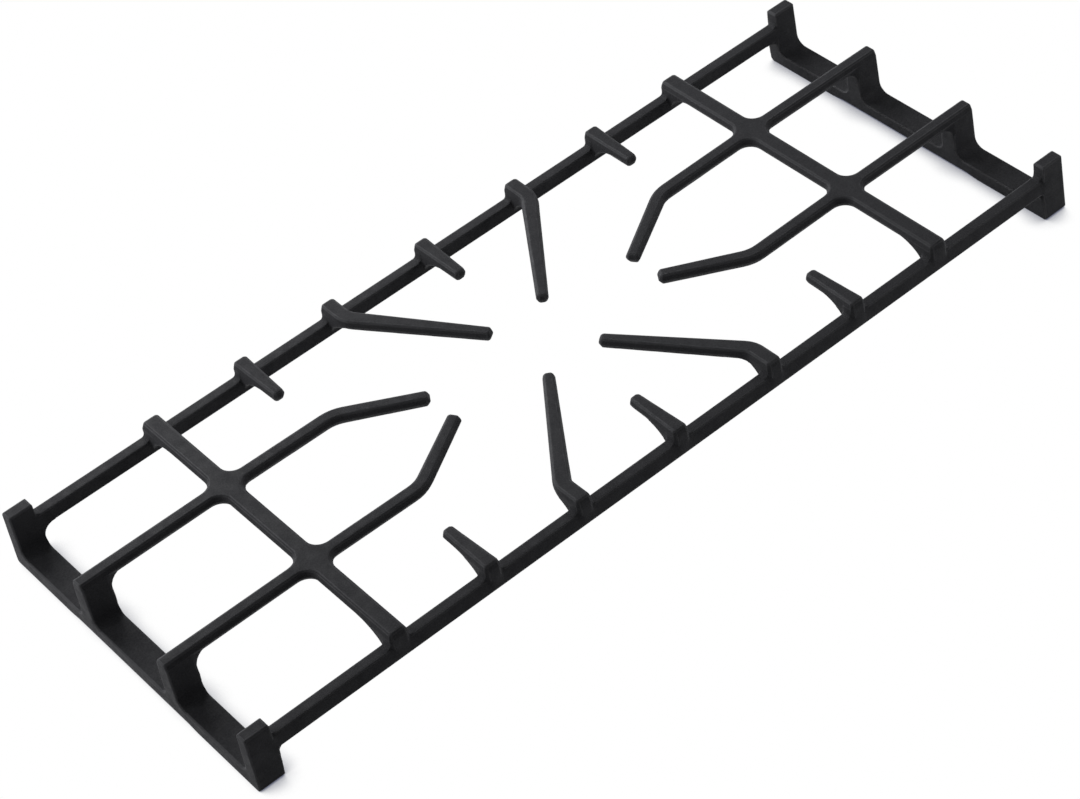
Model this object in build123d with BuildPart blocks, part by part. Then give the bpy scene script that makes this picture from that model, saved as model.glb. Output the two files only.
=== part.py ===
from build123d import *
import os
from math import atan2, degrees, hypot, radians, tan

# Cast-iron pan support for the middle of a gas hob. Millimetres, +Z up, +X along the longer side.
# The origin is on the hob plate, under the middle of the support.

# Overall size
length = 570.0
width = 227.0
height = 38.0

# Broken edges of the casting
edge_break = 0.8
rail_break = 0.6
end_break = 1.8
foot_break = 1.6
tip_break = 1.7

# Bars: widest on a line a little below the cooking plane, narrower above and below it
cope_depth = 3.7
bar_depth = 7.0
bar_draft = 22.0
bar_under_draft = 30.0
finger_depth = 6.5
finger_draft = 15.0
finger_under_draft = 23.0

# The bars and fingers dip a little toward the burner in the middle
bar_dip = 0.85
finger_dip = 1.4

# Two bars along X at either end, each bent inward past its crossbar
bar_spacing = 77.8
bar_top = 6.6
bar_tip_top = 5.8
bar_bend_x = 117.3
bar_tip = (72.0, 10.8)
bar_bend_round = 20.0

# Two crossbars along Y
crossbar_spacing = 376.5
crossbar_top = 9.2
crotch_round = 7.0

# Short fingers, square to the side rail
short_finger_x = (-127.5, 0.0, 127.5)
short_finger_tip_y = 72.9
short_root_top = 8.4
short_tip_top = 5.6

# Long fingers, bent toward the burner
long_finger_x = 66.6
long_bend_y = 93.7
long_tip = (18.0, 24.0)
long_root_top = 8.4
long_tip_top = 5.2
long_bend_round = 14.0

# Side rails, below the cooking plane and a little inside the feet
side_drop = 9.3
side_depth = 9.0
side_inset = 0.7
side_draft = 1.5
side_top_width = 6.8
side_bottom_width = 8.8

# Roots that carry the fingers and crossbars down to the side rail
root_reach = 25.0
root_foot_rise = 1.2
root_end_inset = 1.2
root_round = 3.0

# End rails that stand on the hob plate
end_rail_depth = 15.8
end_rail_height = 8.6
end_draft = 0.8
foot_length = 55.0
foot_ramp = 8.0
foot_relief = 1.0

# Uprights on the end rails, with arches that cover most of the bars' lower flanks
upright_round = 6.0
upright_lean = 1.6
bar_upright_flare = 0.9
bar_gusset = 7.0
bar_gusset_cover = 0.9
corner_thickness = 9.3
corner_top_thickness = 7.8
corner_set_back = 1.4
corner_side_draft = 1.2
corner_gusset = 6.8
corner_notch_round = 3.5

# Heights and half sizes that follow from the above
half_length = length / 2
half_width = width / 2
widest_z = height - cope_depth
bar_under_z = height - bar_depth
bar_flare = cope_depth * tan(radians(bar_draft))
finger_flare = cope_depth * tan(radians(finger_draft))
bar_y = bar_spacing / 2
crossbar_x = crossbar_spacing / 2
rail_inner_x = half_length - end_rail_depth
upright_inner_x = rail_inner_x - upright_lean
corner_inner_x = upright_inner_x + corner_set_back
side_top_z = height - side_drop
side_bottom_z = side_top_z - side_depth
side_outer_bottom_y = half_width - side_inset
side_inner_bottom_y = side_outer_bottom_y - side_bottom_width
side_outer_top_y = side_outer_bottom_y - side_draft
side_inner_top_y = side_outer_top_y - side_top_width
root_end_y = half_width - root_end_inset
root_foot_z = side_bottom_z + root_foot_rise
side_mid_y = (side_inner_top_y + side_outer_top_y) / 2
bar_half = bar_top / 2 + bar_flare
bar_tip_half = bar_tip_top / 2 + bar_flare
crossbar_half = crossbar_top / 2 + bar_flare
short_root_half = short_root_top / 2 + finger_flare
short_tip_half = short_tip_top / 2 + finger_flare
long_root_half = long_root_top / 2 + finger_flare
long_tip_half = long_tip_top / 2 + finger_flare
widest_plane = Plane.XY.offset(widest_z)
up = (0, 0, 1)
down = (0, 0, -1)

# How far a filling runs into the solid that it blends with
embed = 1.0


def bar_outline(path, half_widths):
    # Corners along either side of a bar that follows the path, with mitred bends and square ends.
    points = [Vector(*point) for point in path]
    steps = [(b - a).normalized() for a, b in zip(points, points[1:])]
    sides = [Vector(-step.Y, step.X) for step in steps]
    left = []
    right = []
    for i, (point, half) in enumerate(zip(points, half_widths)):
        before = sides[max(i - 1, 0)]
        after = sides[min(i, len(sides) - 1)]
        mitre = (before + after) * (half / (1 + before.dot(after)))
        left.append((point.X + mitre.X, point.Y + mitre.Y))
        right.append((point.X - mitre.X, point.Y - mitre.Y))
    return left, right


def nearest(sketch, points):
    # The sketch's own corners that lie at the given points.
    return [sketch.vertices().sort_by_distance((x, y, 0))[0] for x, y in points]


def bent_bar(path, half_widths, bend_round):
    # Plan of a bent bar at its widest level, rounded at the bend, with its end corners broken.
    left, right = bar_outline(path, half_widths)
    with BuildSketch() as plan:
        with BuildLine():
            Polyline(*left, *reversed(right), close=True)
        make_face()
        inner, outer = sorted((left[1], right[1]), key=lambda corner: hypot(*corner))
        fillet(nearest(plan, [inner]), bend_round - half_widths[1])
        fillet(nearest(plan, [outer]), bend_round + half_widths[1])
        chamfer(nearest(plan, [left[-1], right[-1]]), tip_break)
        chamfer(nearest(plan, [left[0], right[0]]), end_break)
    return plan.sketch_local


def straight_bar(x, root_half, tip_half, tip_y):
    # Plan of a straight finger at its widest level, square to the side rail, with broken corners.
    with BuildSketch() as plan:
        with BuildLine():
            Polyline(
                (x - root_half, root_end_y),
                (x - tip_half, tip_y),
                (x + tip_half, tip_y),
                (x + root_half, root_end_y),
                close=True,
            )
        make_face()
        chamfer(nearest(plan, [(x - tip_half, tip_y), (x + tip_half, tip_y)]), tip_break)
        chamfer(nearest(plan, [(x - root_half, root_end_y), (x + root_half, root_end_y)]), end_break)
    return plan.sketch_local


def cast_bar(plan, depth, over_draft, under_draft):
    # A bar from its plan at the widest level, drafted inward above and below, with a broken top edge.
    with BuildPart() as lower:
        extrude(plan, amount=depth - cope_depth, dir=down)
        draft(lower.faces().filter_by(Plane.XY, reverse=True), widest_plane, -under_draft)
    with BuildPart() as bar:
        extrude(plan, amount=cope_depth, dir=up)
        draft(bar.faces().filter_by(Plane.XY, reverse=True), widest_plane, over_draft)
        add(lower.part)
        chamfer(bar.faces().sort_by(Axis.Z)[-1].edges(), edge_break)
    return bar.part


def bar_root(plan):
    # The widest outline carried down to the side rail and hollowed out under the bar.
    hollow_y = side_inner_bottom_y - root_reach
    with BuildPart() as root:
        extrude(plan, amount=widest_z - root_foot_z, dir=down)
        with BuildSketch(Plane.YZ) as hollow:
            with BuildLine():
                EllipticalCenterArc((hollow_y, root_foot_z), root_reach, widest_z - root_foot_z, arc_size=90)
                Polyline(
                    (hollow_y, widest_z),
                    (-half_width, widest_z),
                    (-half_width, root_foot_z),
                    (side_inner_bottom_y, root_foot_z),
                )
            make_face()
        extrude(hollow.sketch, amount=half_length, both=True, mode=Mode.SUBTRACT)
    return root.part


def root_pad(x, half_thickness):
    # End view of a root where it stands on the side rail, with a rounded foot on either side.
    with BuildSketch(Plane.XZ.offset(-side_mid_y)) as profile:
        with Locations((x, (side_top_z + widest_z) / 2)):
            Rectangle(2 * half_thickness, widest_z - side_top_z)
        with Locations((x, side_top_z - embed / 2)):
            Rectangle(2 * (half_thickness + root_round) + embed, embed)
        feet = [(x - half_thickness, side_top_z), (x + half_thickness, side_top_z)]
        fillet(nearest(profile, feet), root_round)
    return profile.sketch


def inside_corner(y, corner, foot, radius, depth):
    # Rounded filling where an upright's inner face, from the corner to the foot, meets a bar.
    # It is let into the bar by the given depth.
    corner_x, corner_z = corner
    foot_x, foot_z = foot
    far_x = corner_x - radius - embed
    let_in_z = corner_z + (depth if foot_z < corner_z else -depth)
    with BuildSketch(Plane.XZ.offset(-y)) as profile:
        with BuildLine():
            Polyline(
                (far_x, corner_z),
                corner,
                foot,
                (foot_x + embed, foot_z),
                (corner_x + embed, let_in_z),
                (far_x, let_in_z),
                close=True,
            )
        make_face()
        fillet(nearest(profile, [corner]), radius)
    return profile.sketch


def bar_arch(y):
    # Arch under a bar at its upright, as wide as the upright there and as the bar's underside at its far end.
    under_depth = bar_depth - cope_depth
    narrowing = under_depth * tan(radians(bar_under_draft))
    narrowing_angle = degrees(atan2(narrowing, bar_gusset + embed))
    corner = (upright_inner_x, bar_under_z)
    foot = (upright_inner_x, side_bottom_z)
    profile = inside_corner(y, corner, foot, bar_gusset, bar_gusset_cover * under_depth)
    with BuildPart() as arch:
        extrude(profile, amount=bar_half, both=True)
        flanks = arch.faces().filter_by(Plane.XZ)
        draft(flanks, Plane.YZ.offset(upright_inner_x + embed), -narrowing_angle)
    return arch.part


# One end rail with its four uprights: the view along X, cut to the view along Y
with BuildPart() as end_frame:
    with BuildSketch(Plane.YZ.offset(upright_inner_x)) as comb:
        foot_end = half_width - foot_break
        foot_y = half_width - foot_length
        corner_outer = half_width - corner_side_draft
        corner_inner = half_width - corner_thickness
        with BuildLine():
            Polyline(
                (foot_end, 0),
                (corner_inner, end_rail_height),
                (-corner_inner, end_rail_height),
                (-foot_end, 0),
                (-foot_y, 0),
                (foot_ramp - foot_y, foot_relief),
                (foot_y - foot_ramp, foot_relief),
                (foot_y, 0),
                close=True,
            )
        make_face()
        hollows = []
        for side in (-1, 1):
            with BuildLine():
                Polyline(
                    (side * foot_end, 0),
                    (side * half_width, foot_break),
                    (side * corner_outer, height),
                    (side * (corner_outer - corner_top_thickness), height),
                    (side * corner_inner, end_rail_height),
                    (side * corner_inner, 0),
                    close=True,
                )
            make_face()
            hollows.append((side * corner_inner, end_rail_height))
            base_half = bar_half + bar_upright_flare
            half_outline = [
                (0, height),
                (bar_top / 2, height),
                (bar_half, widest_z),
                (base_half, end_rail_height),
                (base_half, end_rail_height / 2),
                (0, end_rail_height / 2),
            ]
            for flank in (-1, 1):
                with BuildLine():
                    Polyline(*[(side * bar_y + flank * y, z) for y, z in half_outline], close=True)
                make_face()
                hollows.append((side * bar_y + flank * base_half, end_rail_height))
        fillet(nearest(comb, hollows), upright_round)
    extrude(amount=half_length - upright_inner_x)
    with BuildSketch(Plane.XZ.offset(-half_width)) as leg:
        with BuildLine():
            Polyline(
                (rail_inner_x, 0),
                (half_length, 0),
                (half_length - end_draft, height),
                (corner_inner_x, height),
                (corner_inner_x, side_top_z),
                (upright_inner_x, side_bottom_z),
                close=True,
            )
        make_face()
    extrude(amount=width, mode=Mode.INTERSECT)
    outer_face = end_frame.faces().sort_by(Axis.X)[-1]
    outline = [edge for edge in outer_face.edges() if edge.center().Z > end_rail_height / 2]
    crests = end_frame.faces().filter_by(Plane.XY).group_by(Axis.Z)[-1].edges()
    chamfer(set(outline + crests), edge_break)

# One end of the cooking plane: two bent bars and a crossbar, dipping inward from the crossbar
with BuildPart() as flat_grid:
    with BuildSketch(widest_plane) as plan:
        for side in (-1, 1):
            path = [
                (half_length - end_rail_depth / 2, side * bar_y),
                (bar_bend_x, side * bar_y),
                (bar_tip[0], side * bar_tip[1]),
            ]
            add(bent_bar(path, (bar_half, bar_half, bar_tip_half), bar_bend_round))
        with Locations((crossbar_x, 0)):
            Rectangle(2 * crossbar_half, 2 * root_end_y)
        crossings = [
            (crossbar_x + i * crossbar_half, side * bar_y + j * bar_half)
            for side in (-1, 1)
            for i in (-1, 1)
            for j in (-1, 1)
        ]
        fillet(nearest(plan, crossings), crotch_round)
        ends = [(crossbar_x + i * crossbar_half, j * root_end_y) for i in (-1, 1) for j in (-1, 1)]
        chamfer(nearest(plan, ends), end_break)
    add(cast_bar(plan.sketch, bar_depth, bar_draft, bar_under_draft))

with BuildPart() as grid_end:
    crossbar_plane = Plane.YZ.offset(crossbar_x)
    crossbar_axis = Axis((crossbar_x, 0, height), (0, 1, 0))
    add(split(flat_grid.part, bisect_by=crossbar_plane, keep=Keep.TOP, mode=Mode.PRIVATE))
    inner_half = split(flat_grid.part, bisect_by=crossbar_plane, keep=Keep.BOTTOM, mode=Mode.PRIVATE)
    add(inner_half.rotate(crossbar_axis, -bar_dip))

# The fingers of one side, dipping inward from the side rail
with BuildPart() as fingers:
    plans = [straight_bar(x, short_root_half, short_tip_half, short_finger_tip_y) for x in short_finger_x]
    for side in (-1, 1):
        path = [
            (side * long_finger_x, root_end_y),
            (side * long_finger_x, long_bend_y),
            (side * long_tip[0], long_tip[1]),
        ]
        half_widths = (long_root_half, long_root_half, long_tip_half)
        plans.append(bent_bar(path, half_widths, long_bend_round))
    root_axis = Axis((0, root_end_y, widest_z), (1, 0, 0))
    for plan in plans:
        level_plan = plan.moved(widest_plane.location)
        finger = cast_bar(level_plan, finger_depth, finger_draft, finger_under_draft)
        add(finger.rotate(root_axis, finger_dip))
        add(bar_root(level_plan).rotate(root_axis, finger_dip))

# One side rail with the roots that stand on it
with BuildPart() as side_rail:
    with BuildSketch(Plane.YZ) as section:
        with BuildLine():
            Polyline(
                (side_inner_bottom_y, side_bottom_z),
                (side_outer_bottom_y, side_bottom_z),
                (side_outer_top_y, side_top_z),
                (side_inner_top_y, side_top_z),
                close=True,
            )
        make_face()
        chamfer(section.vertices(), rail_break)
    extrude(amount=half_length - end_rail_depth / 2, both=True)
    roots = [(x, short_root_half) for x in short_finger_x]
    for side in (-1, 1):
        roots.append((side * long_finger_x, long_root_half))
        roots.append((side * crossbar_x, crossbar_half))
        crossbar_plan = straight_bar(side * crossbar_x, crossbar_half, crossbar_half, 0)
        add(bar_root(crossbar_plan.moved(widest_plane.location)))
    pad_width = side_outer_top_y - side_inner_top_y - 2 * rail_break
    for x, root_half in roots:
        extrude(root_pad(x, root_half), amount=pad_width / 2, both=True)

# Rounded inside corners of the uprights of one end
with BuildPart() as gussets:
    rail_y = (side_inner_bottom_y + side_outer_top_y) / 2
    rail_half = (side_outer_top_y - side_inner_bottom_y) / 2
    notch_half = (side_outer_top_y - side_inner_top_y) / 2 - rail_break
    rail_corner = (upright_inner_x, side_bottom_z)
    rail_foot_x = upright_inner_x + upright_lean * corner_gusset / side_bottom_z
    rail_foot = (rail_foot_x, side_bottom_z - corner_gusset)
    notch_corner = (corner_inner_x, side_top_z)
    notch_foot = (corner_inner_x, side_top_z + corner_notch_round + embed)
    for side in (-1, 1):
        add(bar_arch(side * bar_y))
        rail_filling = inside_corner(side * rail_y, rail_corner, rail_foot, corner_gusset, embed)
        extrude(rail_filling, amount=rail_half, both=True)
        notch_filling = inside_corner(side * side_mid_y, notch_corner, notch_foot, corner_notch_round, embed)
        extrude(notch_filling, amount=notch_half, both=True)

# The whole casting, mirrored end to end and side to side
with BuildPart() as pan_support:
    for end_piece in (end_frame, grid_end, gussets):
        add(end_piece.part)
        mirror(end_piece.part, about=Plane.YZ)
    for side_piece in (side_rail, fingers):
        add(side_piece.part)
        mirror(side_piece.part, about=Plane.XZ)

os.makedirs("parts", exist_ok=True)
pan_support.part.label = "pan_support"
export_step(pan_support.part, "parts/pan_support.step")
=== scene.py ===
import math

import bmesh
import bpy
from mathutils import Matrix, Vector


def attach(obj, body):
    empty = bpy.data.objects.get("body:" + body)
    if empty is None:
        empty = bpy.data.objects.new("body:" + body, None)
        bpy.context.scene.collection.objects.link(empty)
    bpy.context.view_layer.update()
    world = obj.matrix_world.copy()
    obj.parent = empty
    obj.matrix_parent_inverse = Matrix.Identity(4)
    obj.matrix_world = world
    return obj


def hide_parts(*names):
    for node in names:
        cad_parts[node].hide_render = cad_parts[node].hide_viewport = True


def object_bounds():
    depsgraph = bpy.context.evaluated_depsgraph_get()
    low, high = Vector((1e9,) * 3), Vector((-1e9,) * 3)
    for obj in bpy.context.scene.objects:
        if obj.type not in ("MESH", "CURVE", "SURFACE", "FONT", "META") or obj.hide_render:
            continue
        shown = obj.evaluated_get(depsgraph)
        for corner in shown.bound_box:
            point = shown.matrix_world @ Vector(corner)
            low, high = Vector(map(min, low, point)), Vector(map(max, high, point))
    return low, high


# Cast-iron pan support on a white studio floor, as in its photograph. Metres, +Z up, +X along its longer
# side, with the origin on the floor under its middle.

# Camera of the photograph: place in metres, turn in degrees, lens and width of its frame in mm, and the
# nearest and farthest that it sees, in metres
camera_place = (-0.6282, -1.0040, 1.1237)
camera_turn = (45.573, 8.502, -39.802)
camera_lens = 98.97
camera_frame = 36.0
camera_sight = (0.05, 100.0)

# Casting skin: the gap at which the solid's faces are welded and the step at which the skin is rebuilt, in
# metres, how often and how far each point melts toward those beside it, and the share of faces kept
weld_gap = 1e-6
skin_step = 0.0004
skin_melt_rounds = 6
skin_melt_share = 0.5
skin_face_share = 0.10

# Outer faces of the side rails, into which the roots' ends and the corner uprights fade: how far they keep
# from the ends of the support, how far in from its sides they go, their lowest and highest levels, all in
# metres, and how often they are evened out
rail_face_end_gap = 0.006
rail_face_depth = 0.004
rail_face_levels = (0.0203, 0.0279)
rail_face_rounds = 120

# Matte black finish: linear colours of its dark and light grains, its roughness where it is sleek and where
# it is rough, and its shine
dark_grain = (0.0285, 0.0288, 0.0316, 1)
light_grain = (0.0425, 0.0429, 0.0470, 1)
finish_roughness = (0.58, 0.74)
finish_shine = 0.08

# Painted highlight along the edges: its linear colour, the outward bends between which it lightens, each
# the mean of 1 over its two radii in metres, how much of the lightening it gets, and how often the bends
# are evened out
painted_edge_highlight = (0.084, 0.0846, 0.0905, 1)
edge_highlight_bends = (115.0, 300.0)
edge_highlight_share = 0.8
bend_rounds = 1

# Sandy grain of the finish: its size and height in metres, how many finer layers it has and how strong they
# are, and the stretch of it that goes from dark to light
sand_grain = 0.0009
sand_height = 0.00006
sand_layers = 3.0
sand_layer_strength = 0.6
sand_stretch = (0.35, 0.65)

# Slow waviness from the mould: the same, with the stretch of it that goes from sleek to rough
cast_wave = 0.006
cast_wave_height = 0.00012
cast_wave_layers = 2.0
cast_wave_layer_strength = 0.5
cast_wave_stretch = (0.3, 0.7)

# Studio floor and room: reach in metres, the grey that light bounces from, their white to the eye, and the
# strength of the room for light that bounces and to the eye
floor_reach = 30.0
floor_bounce = (0.47, 0.47, 0.47, 1)
studio_white = (1, 1, 1, 1)
room_strength = (0.02, 1.0)

# Shadow close beside the feet: its reach in metres, how far the light leans in from either end for each
# metre along X, how far it leans from the back, the shares of open sky between which the shadow fades, its
# darkest colour, and how many ways it looks for the sky
shadow_reach = 0.019
shadow_end_lean = 1.3
shadow_back_lean = 0.4
shadow_fade = (0.15, 0.75)
shadow_colour = (0.07, 0.08, 0.14, 1)
shadow_looks = 12

# Lamps: name, place in metres, width and length in metres, power in watts
lamps = (
    ("back_softbox", (0.0, 0.788, 0.636), (0.8, 0.6), 7.2),
    ("low_back_softbox", (0.0, 0.966, 0.279), (0.6, 0.35), 3.0),
    ("left_softbox", (-0.896, 0.362, 0.279), (0.6, 0.35), 3.2),
    ("right_softbox", (0.966, 0.0, 0.279), (0.6, 0.35), 1.0),
    ("front_fill", (0.621, -0.740, 0.279), (0.6, 0.35), 1.4),
)
lamp_aim = (0.0, 0.0, 0.02)


def add_object(data):
    """Puts a mesh, a light or a lens into the scene under its own name."""
    thing = bpy.data.objects.new(data.name, data)
    bpy.context.scene.collection.objects.link(thing)
    return thing


def aim(thing, target):
    way = Vector(target) - thing.location
    thing.rotation_euler = way.to_track_quat("-Z", "Y").to_euler()


def settle_modifiers(piece):
    """Turns the piece's modifiers into plain mesh."""
    bpy.context.view_layer.update()
    shown = piece.evaluated_get(bpy.context.evaluated_depsgraph_get())
    settled = bpy.data.meshes.new_from_object(shown)
    piece.modifiers.clear()
    piece.data = settled


def evened(bends, point):
    """The mean of the bends at a point and at the points beside it."""
    beside = [bends[edge.other_vert(point).index] for edge in point.link_edges]
    return (bends[point.index] + sum(beside)) / (1 + len(beside))


def mark_bends(mesh):
    """Keeps how sharply the skin bends outward at each point, evened out with the points beside it."""
    shape = bmesh.new()
    shape.from_mesh(mesh)
    bends = []
    for point in shape.verts:
        # A quarter of the turn along its edges, over a third of the area of its faces
        turn = sum(edge.calc_face_angle_signed() * edge.calc_length() for edge in point.link_edges)
        area = sum(face.calc_area() for face in point.link_faces) / 3
        bends.append(turn / (4 * area))
    for _ in range(bend_rounds):
        bends = [evened(bends, point) for point in shape.verts]
    shape.free()
    kept = mesh.attributes.new("bend", "FLOAT", "POINT")
    kept.data.foreach_set("value", bends)


def mark_rail_faces(piece, box):
    """Groups the points of the skin on the outer faces of the side rails."""
    _, (end, side, _) = box
    low, high = rail_face_levels
    points = [
        point.index
        for point in piece.data.vertices
        if abs(point.co.x) < end - rail_face_end_gap
        and abs(point.co.y) > side - rail_face_depth
        and low < point.co.z < high
    ]
    group = piece.vertex_groups.new(name="rail_faces")
    group.add(points, 1.0, "REPLACE")
    return group


def soft_casting(node, box):
    """The casting with its edges rounded and its inside corners filled, as iron leaves a sand mould."""
    shape = bmesh.new()
    shape.from_mesh(node.data)
    bmesh.ops.remove_doubles(shape, verts=shape.verts, dist=weld_gap)
    mesh = bpy.data.meshes.new("pan_support_skin")
    shape.to_mesh(mesh)
    shape.free()
    piece = add_object(mesh)

    rebuild = piece.modifiers.new("rebuild", "REMESH")
    rebuild.mode = "VOXEL"
    rebuild.voxel_size = skin_step
    melt = piece.modifiers.new("melt", "SMOOTH")
    melt.factor = skin_melt_share
    melt.iterations = skin_melt_rounds
    settle_modifiers(piece)

    fade = piece.modifiers.new("fade", "SMOOTH")
    fade.factor = skin_melt_share
    fade.iterations = rail_face_rounds
    fade.vertex_group = mark_rail_faces(piece, box).name
    thin = piece.modifiers.new("thin", "DECIMATE")
    thin.ratio = skin_face_share
    settle_modifiers(piece)

    piece.vertex_groups.clear()
    piece.data.polygons.foreach_set("use_smooth", [True] * len(piece.data.polygons))
    mark_bends(piece.data)
    return piece


class Nodes:
    """Short ways to add nodes to a material or world and to join them."""

    def __init__(self, owner):
        owner.use_nodes = True
        self.tree = owner.node_tree
        self.tree.nodes.clear()

    def add(self, kind, **settings):
        node = self.tree.nodes.new(kind)
        for name, value in settings.items():
            setattr(node, name, value)
        return node

    def join(self, out, into):
        self.tree.links.new(out, into)


def noise(nodes, place, size, layers, layer_strength):
    node = nodes.add("ShaderNodeTexNoise")
    node.inputs["Scale"].default_value = 1 / size
    node.inputs["Detail"].default_value = layers
    node.inputs["Roughness"].default_value = layer_strength
    nodes.join(place, node.inputs["Vector"])
    return node.outputs["Fac"]


def spread(nodes, value, given=(0.0, 1.0), wanted=(0.0, 1.0)):
    """The value moved from the given range to the wanted one, and kept inside it."""
    node = nodes.add("ShaderNodeMapRange")
    node.inputs["From Min"].default_value, node.inputs["From Max"].default_value = given
    node.inputs["To Min"].default_value, node.inputs["To Max"].default_value = wanted
    nodes.join(value, node.inputs["Value"])
    return node.outputs["Result"]


def bump(nodes, relief, height, ground=None):
    """The way the surface faces where a relief stands proud of it, or of the bumps on it before."""
    node = nodes.add("ShaderNodeBump")
    node.inputs["Strength"].default_value = 1.0
    node.inputs["Distance"].default_value = height
    nodes.join(relief, node.inputs["Height"])
    if ground is not None:
        nodes.join(ground, node.inputs["Normal"])
    return node.outputs["Normal"]


def cast_iron():
    """Matte black cast iron: sandy grain, a slow waviness from the mould, a slightly uneven sheen and a
    painted highlight on its edges.
    """
    material = bpy.data.materials.new("matte_black_cast_iron")
    nodes = Nodes(material)
    place = nodes.add("ShaderNodeTexCoord").outputs["Object"]
    sand = noise(nodes, place, sand_grain, sand_layers, sand_layer_strength)
    wave = noise(nodes, place, cast_wave, cast_wave_layers, cast_wave_layer_strength)

    colour = nodes.add("ShaderNodeMix", data_type="RGBA")
    colour.inputs["A"].default_value = dark_grain
    colour.inputs["B"].default_value = light_grain
    nodes.join(spread(nodes, sand, sand_stretch), colour.inputs["Factor"])
    # Painted highlight: where the skin bends sharply outward, its colour is lightened toward the edge
    # highlight colour
    bend = nodes.add("ShaderNodeAttribute", attribute_name="bend").outputs["Fac"]
    edges = nodes.add("ShaderNodeMix", data_type="RGBA")
    edges.inputs["B"].default_value = painted_edge_highlight
    nodes.join(spread(nodes, bend, edge_highlight_bends, (0.0, edge_highlight_share)), edges.inputs["Factor"])
    nodes.join(colour.outputs["Result"], edges.inputs["A"])

    sand_bump = bump(nodes, sand, sand_height)
    wave_bump = bump(nodes, wave, cast_wave_height, sand_bump)
    finish = nodes.add("ShaderNodeBsdfPrincipled")
    finish.inputs["Specular IOR Level"].default_value = finish_shine
    nodes.join(edges.outputs["Result"], finish.inputs["Base Color"])
    nodes.join(spread(nodes, wave, cast_wave_stretch, finish_roughness), finish.inputs["Roughness"])
    nodes.join(wave_bump, finish.inputs["Normal"])
    end = nodes.add("ShaderNodeOutputMaterial")
    nodes.join(finish.outputs["BSDF"], end.inputs["Surface"])
    return material


def seen_directly(nodes):
    """1 where the eye sees the surface, straight or in a gloss or glass, and 0 for light that bounces."""
    rays = nodes.add("ShaderNodeLightPath")
    total = rays.outputs["Is Camera Ray"]
    for kind in ("Is Glossy Ray", "Is Transmission Ray"):
        larger = nodes.add("ShaderNodeMath", operation="MAXIMUM")
        nodes.join(total, larger.inputs[0])
        nodes.join(rays.outputs[kind], larger.inputs[1])
        total = larger.outputs["Value"]
    return total


def leaning_up(nodes):
    """The way up from each place on the floor, leaning out to the nearer end and toward the back."""
    place = nodes.add("ShaderNodeSeparateXYZ")
    nodes.join(nodes.add("ShaderNodeTexCoord").outputs["Object"], place.inputs["Vector"])
    lean = nodes.add("ShaderNodeMath", operation="MULTIPLY")
    lean.inputs[1].default_value = shadow_end_lean
    nodes.join(place.outputs["X"], lean.inputs[0])
    way = nodes.add("ShaderNodeCombineXYZ")
    way.inputs["Y"].default_value = shadow_back_lean
    way.inputs["Z"].default_value = 1.0
    nodes.join(lean.outputs["Value"], way.inputs["X"])
    return way.outputs["Vector"]


def shaded_white(nodes):
    """White with a soft shadow where the part covers some of the sky close by."""
    sky = nodes.add("ShaderNodeAmbientOcclusion", samples=shadow_looks)
    sky.inputs["Distance"].default_value = shadow_reach
    nodes.join(leaning_up(nodes), sky.inputs["Normal"])
    shade = nodes.add("ShaderNodeMix", data_type="RGBA")
    shade.inputs["A"].default_value = shadow_colour
    shade.inputs["B"].default_value = studio_white
    nodes.join(spread(nodes, sky.outputs["AO"], shadow_fade), shade.inputs["Factor"])
    white = nodes.add("ShaderNodeEmission")
    nodes.join(shade.outputs["Result"], white.inputs["Color"])
    return white.outputs["Emission"]


def pale_floor():
    """A floor that light bounces from as from grey, and that is white with a soft shadow to the eye."""
    material = bpy.data.materials.new("pale_floor")
    nodes = Nodes(material)
    bounce = nodes.add("ShaderNodeBsdfDiffuse")
    bounce.inputs["Color"].default_value = floor_bounce
    look = nodes.add("ShaderNodeMixShader")
    nodes.join(seen_directly(nodes), look.inputs["Fac"])
    nodes.join(bounce.outputs["BSDF"], look.inputs[1])
    nodes.join(shaded_white(nodes), look.inputs[2])
    end = nodes.add("ShaderNodeOutputMaterial")
    nodes.join(look.outputs["Shader"], end.inputs["Surface"])
    return material


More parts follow.
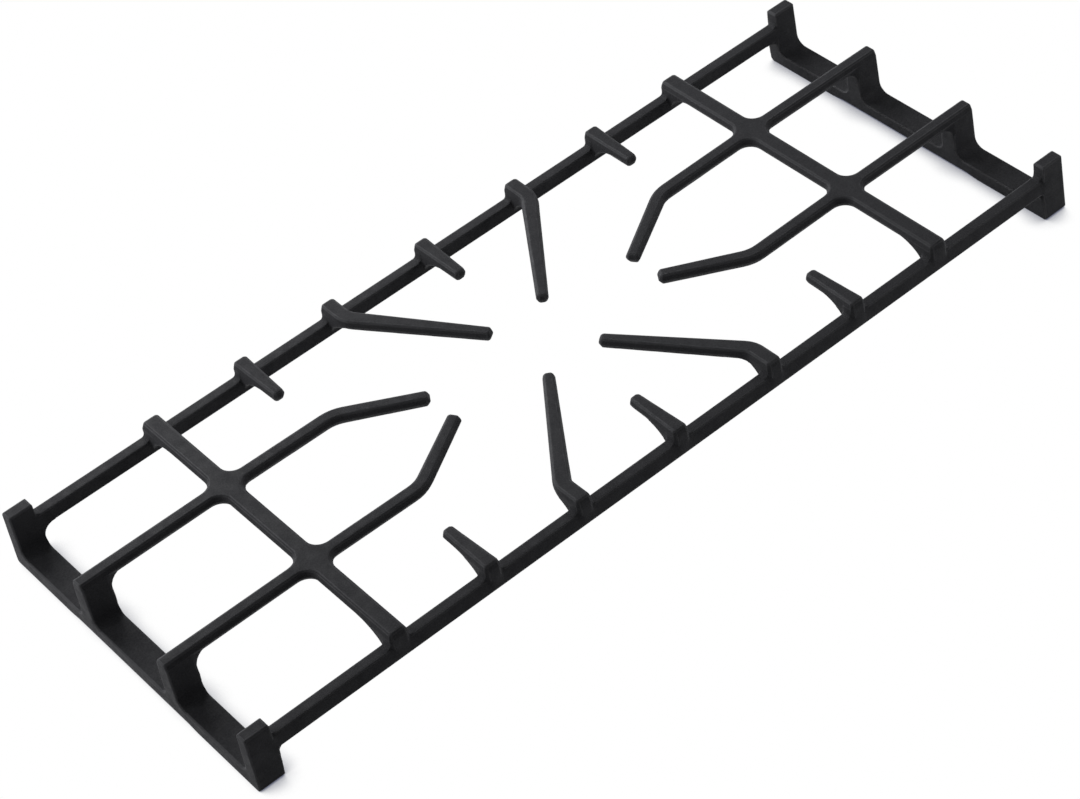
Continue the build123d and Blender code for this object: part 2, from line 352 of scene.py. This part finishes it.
def studio_floor():
    """A triangle of floor with equal sides, each as far from the middle as the floor reaches."""
    mesh = bpy.data.meshes.new("studio_floor")
    side = floor_reach * math.sqrt(3)
    corners = [(-side, -floor_reach, 0), (side, -floor_reach, 0), (0, 2 * floor_reach, 0)]
    mesh.from_pydata(corners, [], [(0, 1, 2)])
    mesh.materials.append(pale_floor())
    add_object(mesh)


def studio_room():
    world = bpy.data.worlds.new("studio_room")
    bpy.context.scene.world = world
    nodes = Nodes(world)
    light = nodes.add("ShaderNodeBackground")
    light.inputs["Color"].default_value = studio_white
    nodes.join(spread(nodes, seen_directly(nodes), wanted=room_strength), light.inputs["Strength"])
    end = nodes.add("ShaderNodeOutputWorld")
    nodes.join(light.outputs["Background"], end.inputs["Surface"])


def studio_lamps():
    for name, place, size, power in lamps:
        light = bpy.data.lights.new(name, "AREA")
        light.shape = "RECTANGLE"
        light.size, light.size_y = size
        light.energy = power
        lamp = add_object(light)
        lamp.location = place
        aim(lamp, lamp_aim)


def photograph_camera():
    lens = bpy.data.cameras.new("photograph_camera")
    lens.sensor_fit = "HORIZONTAL"
    lens.sensor_width = camera_frame
    lens.lens = camera_lens
    lens.clip_start, lens.clip_end = camera_sight
    camera = add_object(lens)
    camera.location = camera_place
    camera.rotation_euler = [math.radians(angle) for angle in camera_turn]
    bpy.context.scene.camera = camera


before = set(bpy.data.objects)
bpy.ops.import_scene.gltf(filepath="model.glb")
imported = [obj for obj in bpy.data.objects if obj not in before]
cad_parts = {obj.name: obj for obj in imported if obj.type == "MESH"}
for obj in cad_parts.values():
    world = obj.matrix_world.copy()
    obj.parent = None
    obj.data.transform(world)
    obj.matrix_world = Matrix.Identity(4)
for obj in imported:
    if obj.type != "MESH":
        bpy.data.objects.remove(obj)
cad_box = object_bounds()
bpy.context.scene.view_settings.view_transform = "Standard"

casting = soft_casting(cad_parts["pan_support"], cad_box)
casting.data.materials.clear()
casting.data.materials.append(cast_iron())
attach(casting, "root")
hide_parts("pan_support")

studio_floor()
studio_room()
studio_lamps()
photograph_camera()
